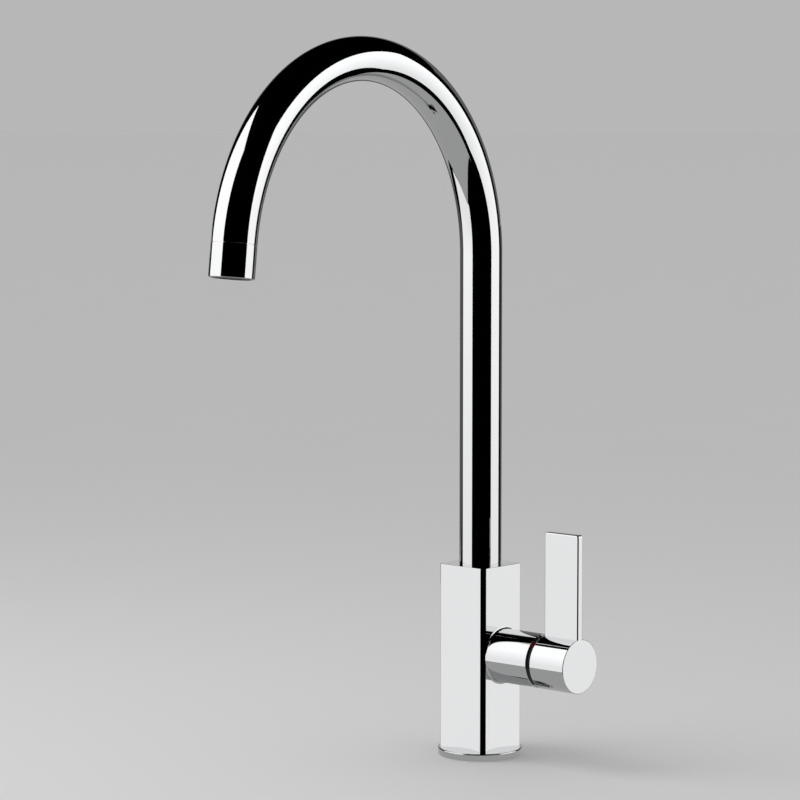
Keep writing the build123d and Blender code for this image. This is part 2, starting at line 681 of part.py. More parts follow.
def make_aerator_body():
    """Cup that screws into the collar, with a web of jets round the nozzle."""
    cup = rod(aerator_radius, aerator_start, aerator_end)
    cup = fillet(cup.edges().sort_by(Axis.Z)[-1], AERATOR_EDGE)
    cup -= rod(aerator_bore, aerator_start + AERATOR_WEB, aerator_end)
    cup -= rod(NOZZLE_RADIUS + FIT_GAP, aerator_start, aerator_end)
    jet_circle = (aerator_bore + NOZZLE_RADIUS) / 2
    for i in range(JET_COUNT):
        cup -= Rot(0, 0, i * 360 / JET_COUNT) * Pos(jet_circle, 0, 0) * rod(JET_RADIUS, 0, COLLAR_LENGTH)
    return turned(at_outlet(cup))


def make_aerator_mesh():
    """Perforated screen in the aerator's mouth."""
    top = aerator_end - 2 * SCREEN_THICKNESS
    inner = NOZZLE_RADIUS + FIT_GAP
    outer = aerator_bore - FIT_GAP
    screen = ring(outer, inner, top, top + SCREEN_THICKNESS)
    pitch = (outer - inner) / SCREEN_ROW_COUNT
    for row in range(SCREEN_ROW_COUNT):
        circle = inner + (row + 0.5) * pitch
        count = FIRST_ROW_COUNT + row * ROW_GROWTH_COUNT
        for i in range(count):
            hole = Pos(circle, 0, 0) * rod(SCREEN_HOLE, top, top + SCREEN_THICKNESS)
            screen -= Rot(0, 0, i * 360 / count) * hole
    return turned(at_outlet(screen))


def make_filtered_nozzle():
    """Centre nozzle: filtered water leaves here, apart from the mixed water round it."""
    head = INNER_TUBE_RADIUS + FIT_GAP + NOZZLE_HEAD_WALL
    shoulder = aerator_start - FIT_GAP
    tip = rod(NOZZLE_RADIUS, shoulder, nozzle_end)
    nozzle = rod(head, shoulder - NOZZLE_SOCKET, shoulder)
    nozzle += fillet(tip.edges().sort_by(Axis.Z)[-1], NOZZLE_EDGE)
    nozzle -= rod(INNER_TUBE_RADIUS + FIT_GAP, shoulder - NOZZLE_SOCKET, NOZZLE_SOCKET)
    nozzle -= rod(NOZZLE_BORE, shoulder - NOZZLE_SOCKET, nozzle_end)
    return turned(at_outlet(nozzle))


# ------------------------------------------------------- shank and fixing set
def make_shank():
    """Hollow threaded tube through the worktop; the supply hoses pass inside it."""
    shank = rod(SHANK_RADIUS, -SHANK_LENGTH, SHOULDER_RECESS)
    shank += rod(neck_radius, SHOULDER_RECESS, inlet_plane - FACE_GAP)
    shank -= rod(neck_bore, -SHANK_LENGTH, inlet_plane)
    return shank - rod(SHANK_RADIUS - SHANK_WALL, -SHANK_LENGTH, -SHOULDER_RECESS)


def make_deck_seal():
    return ring(fixing_bore + DECK_SEAL_WIDTH, fixing_bore, deck_washer_top, deck_seal_top)


def make_deck_washer():
    return ring(fixing_bore + DECK_WASHER_WIDTH, fixing_bore, shank_nut_top, deck_washer_top)


def make_shank_nut():
    flats = RegularPolygon(SHANK_RADIUS + SHANK_NUT_WALL, 6, major_radius=False)
    low = shank_nut_top - SHANK_NUT_THICKNESS
    nut = extrude(Pos(0, 0, low) * flats, SHANK_NUT_THICKNESS)
    return nut - rod(fixing_bore, low, shank_nut_top)


NODES = {
    "base_flange": make_base_flange,
    "base_gasket": make_base_gasket,
    "body": make_body,
    "valve_housing": make_valve_housing,
    "cartridge_base": make_cartridge_base,
    "cartridge_seals": make_cartridge_seals,
    "cartridge_shell": make_cartridge_shell,
    "fixed_disc": make_fixed_disc,
    "moving_disc": make_moving_disc,
    "disc_carrier": make_disc_carrier,
    "cartridge_nut": make_cartridge_nut,
    "index_ring": make_index_ring,
    "hot_mark": lambda: mark_block(-1),
    "cold_mark": lambda: mark_block(1),
    "spindle_guide": make_spindle_guide,
    "stem_pin": make_stem_pin,
    "lever_stem": make_lever_stem,
    "handle": make_handle,
    "grub_screw": make_grub_screw,
    "grub_cap": make_grub_cap,
    "upper_bush": make_upper_bush,
    "lower_bush": make_lower_bush,
    "spout_spigot": make_spout_spigot,
    "spout_o_rings": make_spout_o_rings,
    "spout_lock_screw": make_spout_lock_screw,
    "filter_connector": make_filter_connector,
    "spout_tube": make_spout_tube,
    "filtered_water_tube": make_filtered_water_tube,
    "outlet_collar": make_outlet_collar,
    "collar_seal": make_collar_seal,
    "aerator_body": make_aerator_body,
    "aerator_mesh": make_aerator_mesh,
    "filtered_nozzle": make_filtered_nozzle,
    "shank": make_shank,
    "deck_seal": make_deck_seal,
    "deck_washer": make_deck_washer,
    "shank_nut": make_shank_nut,
}

os.makedirs("parts", exist_ok=True)
for name, make in NODES.items():
    export_step(make(), f"parts/{name}.step")

print(f"hub end {hub_end:.2f}, body top {body_top:.2f}, base radius {base_radius:.2f}")
print(f"tilt pivot at x {pivot_x:.3f}, disc travel {disc_travel:.3f}, stem arm {stem_arm:.3f}")
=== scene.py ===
"""Three way filtered water tap: visible pieces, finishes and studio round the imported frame."""

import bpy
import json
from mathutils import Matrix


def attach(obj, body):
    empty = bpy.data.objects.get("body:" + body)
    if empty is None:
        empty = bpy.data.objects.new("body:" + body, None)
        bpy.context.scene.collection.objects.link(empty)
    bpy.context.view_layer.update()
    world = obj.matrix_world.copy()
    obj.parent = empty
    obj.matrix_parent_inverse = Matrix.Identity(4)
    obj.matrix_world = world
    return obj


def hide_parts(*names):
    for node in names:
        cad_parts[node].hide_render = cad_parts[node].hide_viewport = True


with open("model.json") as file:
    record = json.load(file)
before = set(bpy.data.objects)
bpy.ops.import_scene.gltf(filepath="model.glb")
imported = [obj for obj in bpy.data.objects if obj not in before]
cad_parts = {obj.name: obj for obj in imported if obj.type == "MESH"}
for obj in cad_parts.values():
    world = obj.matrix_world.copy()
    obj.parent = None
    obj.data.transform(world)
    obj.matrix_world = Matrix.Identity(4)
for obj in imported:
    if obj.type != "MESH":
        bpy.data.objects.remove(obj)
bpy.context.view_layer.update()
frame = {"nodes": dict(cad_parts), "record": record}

import json
import math
import bmesh
import bpy
import numpy as np
from bpy.props import FloatProperty, FloatVectorProperty, PointerProperty
from bpy.types import Operator, Panel, PropertyGroup

bl_info = {
    "name": "Three way filtered water tap",
    "version": (1, 0, 0),
    "blender": (4, 5, 0),
    "location": "3D View > Sidebar > Tap",
    "description": "Builds the pieces, finishes and studio of a kitchen tap with a filtered water way",
    "category": "Add Mesh",
}

MM = 0.001

# How finely the surfaces are divided.
WELD = 1e-7  # points nearer than this are one point
SHARP = math.radians(35)  # faces that meet at more than this angle keep their edge
ROUND_COUNT = 144  # points round a piece of about the tube's size
SMALL_ROUND_COUNT = 48  # points round a screw or a small bore
THREAD_COUNT = 72  # points round the threaded shank
EDGE_STEPS = 6  # faces round a softened edge
BODY_EDGE_STEPS = 5  # faces round an edge of the body
BLADE_EDGE_STEPS = 8  # faces round the rim of the lever's blade
BLADE_CORNER_STEPS = 12  # faces round an upper corner of that blade
COVE_STEPS = 9  # faces across the housing's cove
ARCH_STEPS = 120  # faces along the spout's arch
ROWS_PER_PITCH = 12  # faces along one pitch of the thread

# Forms that angles and shares set.
EDGE_SHARE = 1 - 1e-6  # share of the body's edge that its rows go in, so that corners keep an arc
INLET_ANGLES = [math.radians(place) for place in (-60, 60, 180)]  # places of the three inlets
COVE_LOSS = 0.6  # share of the cove that is lost where the skin leans away
COVE_POWER = 8  # power of the sine of the place round the housing by which that loss grows
FLANK = 1.15  # how much steeper the thread's flanks are than a plain triangle wave's
CREST = 0.1  # share of the thread's depth that its flat crest takes off
NUT_CHAMFER = 1.01  # radius of the nut's turned chamfer, with the distance to its flats as 1

# Finishes. rough: roughness of the smoothest spots; pitch: width of a turning mark; grain: grains
# to the metre; depth: height of the grain; change: tone of some spots, with the finish's own as 1.
MACHINED_SPREAD = 1.6  # roughness of the roughest spots, with the smoothest as 1
MOULDED_SPREAD = 1.35
MACHINED = {
    "raw_brass": {"rough": 0.22, "pitch": 0.25 * MM, "change": 0.82},
    "stainless": {"rough": 0.26, "pitch": 0.2 * MM, "change": 0.88},
}
MOULDED = {
    "black_rubber": {"rough": 0.55, "grain": 1800, "depth": 2e-5, "change": 1.5},
    "dark_ring": {"rough": 0.35, "grain": 2600, "depth": 8e-6, "change": 1.25},
    "hot_red": {"rough": 0.16, "grain": 900, "depth": 3e-6, "change": 0.85, "Coat_Weight": 0.4},
    "cold_blue": {"rough": 0.16, "grain": 900, "depth": 3e-6, "change": 0.85, "Coat_Weight": 0.4},
    "valve_plastic": {"rough": 0.42, "grain": 1500, "depth": 1e-5, "change": 0.93},
    "ceramic": {"rough": 0.14, "grain": 2400, "depth": 1e-6, "change": 0.97, "Coat_Weight": 0.2},
    "bearing_plastic": {"rough": 0.38, "grain": 1400, "depth": 6e-6, "change": 0.96},
    "tube_plastic": {
        "rough": 0.2, "grain": 700, "depth": 4e-6, "change": 0.96, "Transmission_Weight": 0.45,
    },
    "aerator_plastic": {"rough": 0.34, "grain": 1600, "depth": 8e-6, "change": 0.9},
}

# Studio, in metres. Only mirror finishes see the cards, and darkness where no card stands.
WHITE = (1, 1, 1, 1)
DARKNESS = 0.0002  # brightness of that darkness
FLOOR_REACH = 60.0  # half the floor's side
CAMERA_BEARING = math.radians(-49.27)  # direction of the camera, seen from the tap
SENSOR_WIDTH = 36  # of the camera, in millimetres
PANEL_RISE = 0.5  # height at which the side panels reach their full brightness
# Name and glow; degrees from the camera's side; distance; left and right edge; low and high edge.
UPRIGHT_CARDS = [
    ("left_panel", "panel_white", -84.4, 0.836, -0.467, 0.618, -0.3, 1.4),
    ("right_panel", "panel_white", 86.5, 0.766, -0.41, 0.427, -0.17, 0.772),
    ("rear_card", "rear_grey", 172, 1.2, -0.904, 0.938, 0.31, 0.9),
    ("horizon_card", "horizon_grey", 180, 1.5, -1.2, 1.2, 0.3, 0.36),
    ("rear_floor", "rear_floor_grey", 180, 1.5, -1.4, 3.1, -0.2, 0.3),
]
CARD_LEVEL = -0.135  # height of the level card that the undersides mirror
CARD_LIP = 0.04  # height of the lip on its right edge, which the base's right side mirrors
# The level card's corners: how far towards the camera, and how far to the right.
CARD_CORNERS = [(0.45, 0.38), (0, 0.37), (-1.5, 0.63), (-1.5, -1.2), (-0.4, -0.62), (0.45, -0.62)]
LIP_CORNERS = 3  # how many of the corners, from the first, carry the lip
CARD_FACES = [(0, 1, 2, 3, 4, 5), (0, 1, 7, 6), (1, 2, 8, 7)]  # the level face, then the lip's two
DISC_LEVEL = -0.0005  # height of the small disc that the base mirrors close by
DISC_RADIUS = 0.03
KEY_SIZE = 0.9  # the key light's diameter
KEY_PLACE = (-0.5, -0.55, 1.25)
KEY_TURN = (math.radians(-28), math.radians(-22), 0)


# ------------------------------------------------------------------ settings
def length(name, description, millimetres):
    """Setting that holds a length."""
    return FloatProperty(
        name=name, description=description, default=millimetres * MM, unit="LENGTH", precision=5
    )


def angle(name, description, degrees):
    """Setting that holds an angle."""
    return FloatProperty(
        name=name, description=description, default=math.radians(degrees), subtype="ANGLE"
    )


def colour(name, description, value):
    """Setting that holds a colour."""
    return FloatVectorProperty(
        name=name, description=description, default=value, subtype="COLOR", size=3, min=0, max=1
    )


def brightness(name, description, value):
    """Setting that holds the strength of a light or card."""
    return FloatProperty(name=name, description=description, default=value, min=0)


class BodySizes(PropertyGroup):
    half_width: length("Half width", "From the tap's axis to a face of the square body", 18)
    corner: length("Corner", "Width that each upright corner loses to its slanting face", 2.4)
    edge: length("Edge", "Radius of the body's softened edges", 0.35)
    bottom: length("Bottom", "Height of the body's underside", 4.5)
    top: length("Top", "Height of the body's top", 115.4)
    recess: length("Recess", "Radius of the recess that the spout stands in", 12.7)
    recess_floor: length("Recess floor", "Height of that recess's floor", 112.9)
    bush_seat: length("Bush seat", "Radius of the upper bush's seat", 11.6)
    bush_floor: length("Bush floor", "Height of the upper bush's seat", 106.9)
    socket: length("Socket", "Radius of the spout's socket", 11)
    socket_floor: length("Socket floor", "Height of the socket's floor", 80)
    pocket: length("Pocket", "Radius of the pocket for the filtered water nipple", 3.05)
    pocket_floor: length("Pocket floor", "Height of that pocket's floor", 73)
    neck: length("Neck", "Radius of the bore that the shank screws into", 14)
    neck_top: length("Neck top", "Height of the plane that holds the three inlets", 16.5)
    inlet: length("Inlet", "Radius of each inlet", 4.5)
    inlet_circle: length("Inlet circle", "Radius at which the inlets stand", 7.5)
    inlet_depth: length("Inlet depth", "Depth of each inlet", 10)
    lock_height: length("Lock height", "Height of the spout's lock screw", 101.95)
    lock_radius: length("Lock radius", "Radius of the lock screw's hole", 2.05)
    base_top: length("Base top", "Radius of the round base plate at its top", 25.28)
    base_undercut: angle("Base undercut", "How far the base's side leans in to its foot", 5)
    base_edge: length("Base edge", "Radius of the base's softened edges", 0.7)
    base_bore: length("Base bore", "Radius of the base's bore", 14.15)
    shank_recess: length("Shank recess", "Radius of the base's recess for the shank", 16.2)
    shank_recess_depth: length("Shank recess depth", "Depth of that recess", 1.5)
    gasket_inner: length("Gasket groove inside", "Inner radius of the gasket's groove", 18.5)
    gasket_outer: length("Gasket groove outside", "Outer radius of the gasket's groove", 22.5)
    gasket_depth: length("Gasket groove depth", "Depth of the gasket's groove", 1.8)


class ValveSizes(PropertyGroup):
    height: length("Valve height", "Height of the lever's axis", 61.9)
    radius: length("Radius", "Radius of the round housing and of the lever's hub", 16)
    edge: length("Housing edge", "Radius of the housing's softened edge", 0.35)
    cove: length("Housing cove", "Radius of the cove between the housing and the body's face", 1.3)
    inner_edge: length("Inner edge", "Radius of the softened inner edges", 0.2)
    end: length("Housing end", "How far the housing reaches out", 48.75)
    nut_bore: length("Nut bore", "Radius of the bore for the cartridge nut", 14.2)
    nut_floor: length("Nut floor", "Where that bore ends", 42.5)
    cartridge_bore: length("Cartridge bore", "Radius of the bore for the cartridge", 12.6)
    chamber_floor: length("Chamber floor", "Where the body's valve chamber ends", 8)
    chamber: length("Chamber", "Radius of the body's valve chamber", 14)
    spigot: length("Spigot", "Radius of the housing's end inside the body", 13.95)
    spigot_start: length("Spigot start", "Where the housing's inner end begins", 9)


class LeverSizes(PropertyGroup):
    start: length("Hub start", "Where the hub begins along its axis", 51.5)
    end: length("Hub end", "Where the hub ends along its axis", 76.8)
    edge: length("Hub edge", "Radius of the hub's softened edges", 0.45)
    hollow: length("Hub hollow", "Radius of the hub's hollow side", 13.5)
    hollow_floor: length("Hollow floor", "Where the hub's hollow ends", 60)
    stem_bore: length("Stem bore", "Radius of the bore for the lever's stem", 4.05)
    stem_floor: length("Stem floor", "Where that bore ends", 73.2)
    top: length("Lever top", "Height of the lever's upper end", 139.2)
    foot: length("Lever foot", "How far above the hub's axis the blade is rooted", 14.7)
    thickness: length("Thickness", "Thickness of the lever's blade", 4.6)
    corner: length("Corner", "Radius of the blade's upper corners", 1.5)
    blade_edge: length("Blade edge", "Radius of the blade's softened edges", 0.9)
    grub_x: length("Grub screw", "Where the grub screw's hole stands along the hub", 66.5)
    grub_bore: length("Grub bore", "Radius of the grub screw's hole", 2.55)
    cap_bore: length("Cap bore", "Radius of the seat for the hole's cap", 3.15)
    cap_depth: length("Cap depth", "Depth of that seat", 1.8)


class SpoutSizes(PropertyGroup):
    radius: length("Tube radius", "Outside radius of the spout's tube", 12.5)
    wall: length("Wall", "Thickness of the tube's wall", 1.2)
    start: length("Start", "Height at which the tube begins", 114)
    column_top: length("Column top", "Height at which the arch begins", 300)
    arch_radius: length("Arch radius", "Radius of the arch's middle line", 113.5)
    arch_angle: angle("Arch angle", "How far the arch goes round", 173)
    turn: angle("Turn", "How far the spout stands turned towards the lever", 5.2)
    foot_edge: length("Foot edge", "Radius of the tube's lower edge", 0.3)
    groove: length("Joint groove", "Depth of the groove between tube and collar", 0.45)
    groove_gap: length("Groove gap", "Half the width of that groove", 0.18)
    groove_edge: length("Groove edge", "Radius of the groove's two edges", 0.07)
    collar: length("Collar length", "Length of the outlet's collar", 18.5)
    collar_edge: length("Collar edge", "Radius of the collar's outer edge", 0.6)
    collar_bore: length("Collar bore", "Radius of the collar's bore", 10.6)
    mouth_edge: length("Mouth edge", "Radius of the collar's inner edge", 0.25)
    seat: length("Seat", "Where the collar's seat for its seal stands", 5)
    lip: length("Lip", "How far the collar's lip goes up into the tube", 5)
    lip_radius: length("Lip radius", "Outside radius of that lip", 11.1)
    lip_bore: length("Lip bore", "Radius of the bore through the lip", 9.85)


class FixingSizes(PropertyGroup):
    shank: length("Shank radius", "Outside radius of the threaded shank", 16)
    shank_bottom: length("Shank bottom", "Height of the shank's lower end", -60)
    shank_bore: length("Shank bore", "Radius of the shank's bore", 13.5)
    shoulder: length("Shoulder", "Height of the shank's shoulder in the base", 1.5)
    neck: length("Neck", "Radius of the shank's end inside the body", 13.95)
    neck_bore: length("Neck bore", "Radius of the bore through that end", 12.2)
    neck_top: length("Neck top", "Height of the shank's upper end", 16.4)
    web: length("Web", "Depth below the worktop's top at which the bore widens", 1.5)
    pitch: length("Pitch", "Pitch of the shank's thread", 2)
    thread_depth: length("Thread depth", "Depth of the shank's thread", 1)
    thread_inset: length("Thread inset", "Plain length at either end of the thread", 2.5)
    bore: length("Bore", "Radius of the bore through seal, washer and nut", 16.05)
    seal_top: length("Seal top", "Height of the rubber seal's top", -30)
    seal_thickness: length("Seal thickness", "Thickness of the rubber seal", 3)
    seal_width: length("Seal width", "Width of the rubber seal's ring", 11)
    seal_edge: length("Seal edge", "Radius of the rubber seal's edges", 0.8)
    washer_thickness: length("Washer thickness", "Thickness of the steel washer", 2.5)
    washer_width: length("Washer width", "Width of the steel washer's ring", 10)
    washer_edge: length("Washer edge", "Radius of the steel washer's edges", 0.3)
    nut_thickness: length("Nut thickness", "Thickness of the fixing nut", 8)
    nut_wall: length("Nut wall", "From the shank's thread to the nut's flats", 4.5)
    nut_entry: length("Nut entry", "Width and depth of the chamfer at the nut's bore", 0.8)


class FinishColours(PropertyGroup):
    polished_chrome: colour("Chrome", "Polished chrome plating", (0.62, 0.625, 0.63))
    raw_brass: colour("Brass", "Machined brass", (0.78, 0.6, 0.32))
    stainless: colour("Steel", "Machined stainless steel", (0.62, 0.62, 0.61))
    black_rubber: colour("Rubber", "Moulded black rubber", (0.022, 0.022, 0.022))
    dark_ring: colour("Dark ring", "Dark grey moulded plastic", (0.012, 0.012, 0.013))
    hot_red: colour("Hot mark", "Red inlay", (0.16, 0.008, 0.012))
    cold_blue: colour("Cold mark", "Blue inlay", (0.008, 0.03, 0.2))
    valve_plastic: colour("Valve plastic", "Off-white glass-filled plastic", (0.78, 0.78, 0.75))
    ceramic: colour("Ceramic", "Lapped ceramic discs", (0.88, 0.86, 0.82))
    bearing_plastic: colour("Bearing plastic", "White bearing plastic", (0.86, 0.86, 0.84))
    tube_plastic: colour("Inner tube", "Translucent water tube", (0.82, 0.86, 0.9))
    aerator_plastic: colour("Aerator", "Grey moulded plastic", (0.1, 0.103, 0.107))


class StudioSettings(PropertyGroup):
    floor: colour("Floor", "Pale floor", (0.82, 0.82, 0.82))
    sky: brightness("Soft light", "Even light from all round", 0.62)
    backdrop: brightness("Backdrop", "How bright the open background looks", 0.475)
    panel_low: brightness("Panels, low", "Brightness of the side panels at the floor's height", 1.24)
    panel_high: brightness("Panels, high", "Brightness of the side panels higher up", 1.6)
    card: brightness("Level card", "Brightness of the grey card that the undersides mirror", 0.47)
    rear: brightness("Rear card", "Brightness of the card behind the tap", 0.15)
    horizon: brightness("Horizon card", "Brightness of the low strip behind the tap", 0.6)
    rear_floor: brightness("Rear floor", "Brightness of the dim ground far behind the tap", 0.115)
    key: brightness("Key light", "Strength of the soft light from above, in watts", 5)
    camera_place: FloatVectorProperty(
        name="Camera place", description="Where the camera stands",
        default=(1.15982, -1.34723, 0.38108), subtype="TRANSLATION", unit="LENGTH",
    )
    camera_turn: FloatVectorProperty(
        name="Camera turn", description="How the camera is turned",
        default=(math.radians(84.6063), 0, math.radians(42.274)), subtype="EULER",
    )
    lens: FloatProperty(name="Lens", description="Focal length in millimetres", default=135, min=1)


# ------------------------------------------------------------------ surfaces
def rounded(corners, radii, steps=EDGE_STEPS):
    """Closed outline whose corners give way to arcs.

    Each arc touches both sides of its corner: its centre lies on the corner's bisector at
    radius / sin(half angle), and it turns by the angle between the two sides' directions.
    """
    corners = np.array(corners, dtype=float)
    radii = np.broadcast_to(np.array(radii, dtype=float), len(corners))[:, None]
    before = np.roll(corners, 1, axis=0) - corners
    after = np.roll(corners, -1, axis=0) - corners
    before /= np.linalg.norm(before, axis=1, keepdims=True)
    after /= np.linalg.norm(after, axis=1, keepdims=True)
    half = np.arccos(np.clip((before * after).sum(axis=1), -1, 1))[:, None] / 2
    bisector = before + after
    bisector /= np.linalg.norm(bisector, axis=1, keepdims=True)
    centre = corners + bisector * radii / np.sin(half)
    start = corners + before * radii / np.tan(half) - centre
    side = np.sign(after[:, :1] * before[:, 1:] - after[:, 1:] * before[:, :1])
    turn = side * (np.pi - 2 * half) * np.linspace(0, 1, steps + 1)
    x = centre[:, :1] + start[:, :1] * np.cos(turn) - start[:, 1:] * np.sin(turn)
    y = centre[:, 1:] + start[:, :1] * np.sin(turn) + start[:, 1:] * np.cos(turn)
    return np.stack([x.ravel(), y.ravel()], axis=1)


def quarter_round(steps):
    """Gaps between a quarter circle of radius 1 and its two tangents: 1 - sin a and 1 - cos a."""
    bend = np.linspace(0, math.pi / 2, steps + 1)
    return 1 - np.sin(bend), 1 - np.cos(bend)


def angles_round(count):
    """Angles that divide a full turn evenly, from zero up."""
    return np.arange(count) * 2 * np.pi / count


def lathe(profile, count):
    """Profile of (radius, height) carried round the Z axis: (r cos a, r sin a, h)."""
    turn = angles_round(count)
    radius = profile[:, :1]
    height = np.broadcast_to(profile[:, 1:], (len(profile), count))
    return np.stack([radius * np.cos(turn), radius * np.sin(turn), height], axis=-1)


def bar(radius, low, high, count=SMALL_ROUND_COUNT):
    """Closed round bar along Z, the shape that a drill takes away."""
    return lathe(np.array([(0, low), (radius, low), (radius, high), (0, high)]), count)


def along_x(points, height):
    """Lay points built round Z on a level axis at the given height, their Z along X."""
    return np.stack([points[..., 2], points[..., 1], height - points[..., 0]], axis=-1)


def along_y(points, height):
    """Lay points built round Z on a level axis at the given height, their Z along Y."""
    return np.stack([points[..., 0], points[..., 2], height - points[..., 1]], axis=-1)


def turned(points, turn):
    """Turn points about the tap's upright axis."""
    x = points[..., 0] * math.cos(turn) - points[..., 1] * math.sin(turn)
    y = points[..., 0] * math.sin(turn) + points[..., 1] * math.cos(turn)
    return np.stack([x, y, points[..., 2]], axis=-1)


def quads(points, close_rows=False):
    """Corner numbers of the faces between neighbours of a grid whose rows are closed loops."""
    rows, columns = points.shape[:2]
    index = np.arange(rows * columns).reshape(rows, columns)
    if close_rows:
        index = np.concatenate([index, index[:1]])
    index = np.concatenate([index, index[:, :1]], axis=1)
    faces = [index[:-1, :-1], index[1:, :-1], index[1:, 1:], index[:-1, 1:]]
    return np.stack(faces, axis=-1).reshape(-1, 4)


def surface(name, points, close_rows=False):
    """Closed object from a grid of points: welded, without empty faces, facing outwards.

    close_rows joins the grid's last row to its first; without it each end row folds shut itself.
    """
    mesh = bpy.data.meshes.new(name)
    mesh.from_pydata(points.reshape(-1, 3), [], quads(points, close_rows))
    work = bmesh.new()
    work.from_mesh(mesh)
    bmesh.ops.remove_doubles(work, verts=work.verts, dist=WELD)
    bmesh.ops.dissolve_degenerate(work, edges=work.edges, dist=WELD)
    bmesh.ops.recalc_face_normals(work, faces=work.faces)
    loose = [edge for edge in work.edges if len(edge.link_faces) != 2]
    work.to_mesh(mesh)
    work.free()
    if loose:
        raise RuntimeError(f"{name} is open or folded at {len(loose)} edges")
    piece = bpy.data.objects.new(name, mesh)
    bpy.context.scene.collection.objects.link(piece)
    return piece


def combine(piece, tools, operation):
    """Exact union or difference of a closed piece and closed tools, which are used up."""
    for tool in tools:
        step = piece.modifiers.new("Combine", "BOOLEAN")
        step.operation = operation
        step.solver = "EXACT"
        step.object = tool
    layer = bpy.context.evaluated_depsgraph_get()
    result = bpy.data.meshes.new_from_object(piece.evaluated_get(layer))
    piece.modifiers.clear()
    old = piece.data
    piece.data = result
    result.name = piece.name
    bpy.data.meshes.remove(old)
    for tool in tools:
        used = tool.data
        bpy.data.objects.remove(tool)
        bpy.data.meshes.remove(used)


def corner_normals(mesh):
    """Normals for mirror finishes, one per face corner.

    Each is the sum of the area vectors of the faces round the corner's point that turn by less
    than SHARP from the corner's own face, so that a large flat stays true beside a small round.
    """
    count = len(mesh.polygons)
    normal = np.empty(count * 3)
    area = np.empty(count)
    sides = np.empty(count, dtype=int)
    point = np.empty(len(mesh.loops), dtype=int)
    mesh.polygons.foreach_get("normal", normal)
    mesh.polygons.foreach_get("area", area)
    mesh.polygons.foreach_get("loop_total", sides)
    mesh.loops.foreach_get("vertex_index", point)
    normal = normal.reshape(-1, 3)
    face = np.repeat(np.arange(count), sides)
    order = np.argsort(point, kind="stable")
    shared = np.bincount(point, minlength=len(mesh.vertices))
    first = np.cumsum(shared) - shared
    pairs = shared[point]
    own = np.repeat(np.arange(len(point)), pairs)
    step = np.arange(len(own)) - np.repeat(np.cumsum(pairs) - pairs, pairs)
    other = order[first[point[own]] + step]
    near = (normal[face[own]] * normal[face[other]]).sum(axis=1) > math.cos(SHARP)
    vectors = (normal * area[:, None])[face[other]] * near[:, None]
    total = np.stack([np.bincount(own, vectors[:, k], len(point)) for k in range(3)], axis=1)
    return total / np.linalg.norm(total, axis=1, keepdims=True)


def settle(piece, body, slot, cad_node):
    """Shade a finished piece, give it its finish, hang it on the empty of the body that it rides on,
    and hide the CAD node that it stands for.
    """
    mesh = piece.data
    mesh.polygons.foreach_set("use_smooth", np.ones(len(mesh.polygons), dtype=bool))
    mesh.normals_split_custom_set(corner_normals(mesh).tolist())
    mesh.update()
    mesh.materials.clear()
    mesh.materials.append(finish(slot))
    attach(piece, body)
    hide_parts(cad_node)


# ------------------------------------------------------------------ finishes
def node(tree, kind, **inputs):
    """New shader node with its unlinked inputs set by name."""
    made = tree.nodes.new(kind)
    for name, value in inputs.items():
        made.inputs[name.replace("_", " ")].default_value = value
    return made


def noise(tree, place, scale, detail, stretch=(1, 1, 1)):
    """Noise on Object coordinates, stretched along an axis where its number is small."""
    mapping = node(tree, "ShaderNodeMapping", Scale=stretch)
    tree.links.new(place, mapping.inputs["Vector"])
    made = node(tree, "ShaderNodeTexNoise", Scale=scale, Detail=detail)
    tree.links.new(mapping.outputs["Vector"], made.inputs["Vector"])
    return made.outputs["Fac"]


def spread(tree, value, low, high, start=0.3, end=0.7):
    """Carry a value's range from start to end over to the range from low to high."""
    made = node(tree, "ShaderNodeMapRange", From_Min=start, From_Max=end, To_Min=low, To_Max=high)
    tree.links.new(value, made.inputs["Value"])
    return made.outputs["Result"]


def blend(tree, share, first, second):
    """Colour between two colours."""
    made = tree.nodes.new("ShaderNodeMix")
    made.data_type = "RGBA"
    ends = {"A": (*first, 1), "B": (*second, 1)}
    for socket in made.inputs:
        if socket.type == "RGBA" and socket.name in ends:
            socket.default_value = ends[socket.name]
    tree.links.new(share, made.inputs["Factor"])
    return [socket for socket in made.outputs if socket.type == "RGBA"][0]


def new_material(name, kind, **inputs):
    """Material whose surface is one shader of the given kind; with its tree and that shader."""
    made = bpy.data.materials.new(name)
    made.use_nodes = True
    tree = made.node_tree
    tree.nodes.clear()
    shader = node(tree, kind, **inputs)
    output = tree.nodes.new("ShaderNodeOutputMaterial")
    tree.links.new(shader.outputs[0], output.inputs["Surface"])
    return made, tree, shader


def object_place(tree):
    """Object coordinates."""
    return tree.nodes.new("ShaderNodeTexCoord").outputs["Object"]


def bump(tree, shader, height, distance):
    """Small relief, its height in metres at full white."""
    made = node(tree, "ShaderNodeBump", Strength=1, Distance=distance)
    tree.links.new(height, made.inputs["Height"])
    tree.links.new(made.outputs["Normal"], shader.inputs["Normal"])


def tinted(tree, shader, share, value, change):
    """Base colour that wanders between a colour and the same colour made darker or lighter."""
    value = tuple(value)
    other = tuple(min(1, part * change) for part in value)
    tree.links.new(blend(tree, share, value, other), shader.inputs["Base Color"])


def chrome_finish(name, value):
    """Polished plating: a clear mirror with faint wiping haze, slow tone and a slight ripple."""
    made, tree, shader = new_material(name, "ShaderNodeBsdfPrincipled", Metallic=1)
    place = object_place(tree)
    haze = noise(tree, place, scale=35, detail=4, stretch=(1, 1, 0.35))
    tone = noise(tree, place, scale=12, detail=2)
    ripple = noise(tree, place, scale=90, detail=1)
    tree.links.new(spread(tree, haze, low=0.025, high=0.06), shader.inputs["Roughness"])
    tinted(tree, shader, tone, value, change=0.985)
    bump(tree, shader, ripple, distance=0.6e-6)
    return made


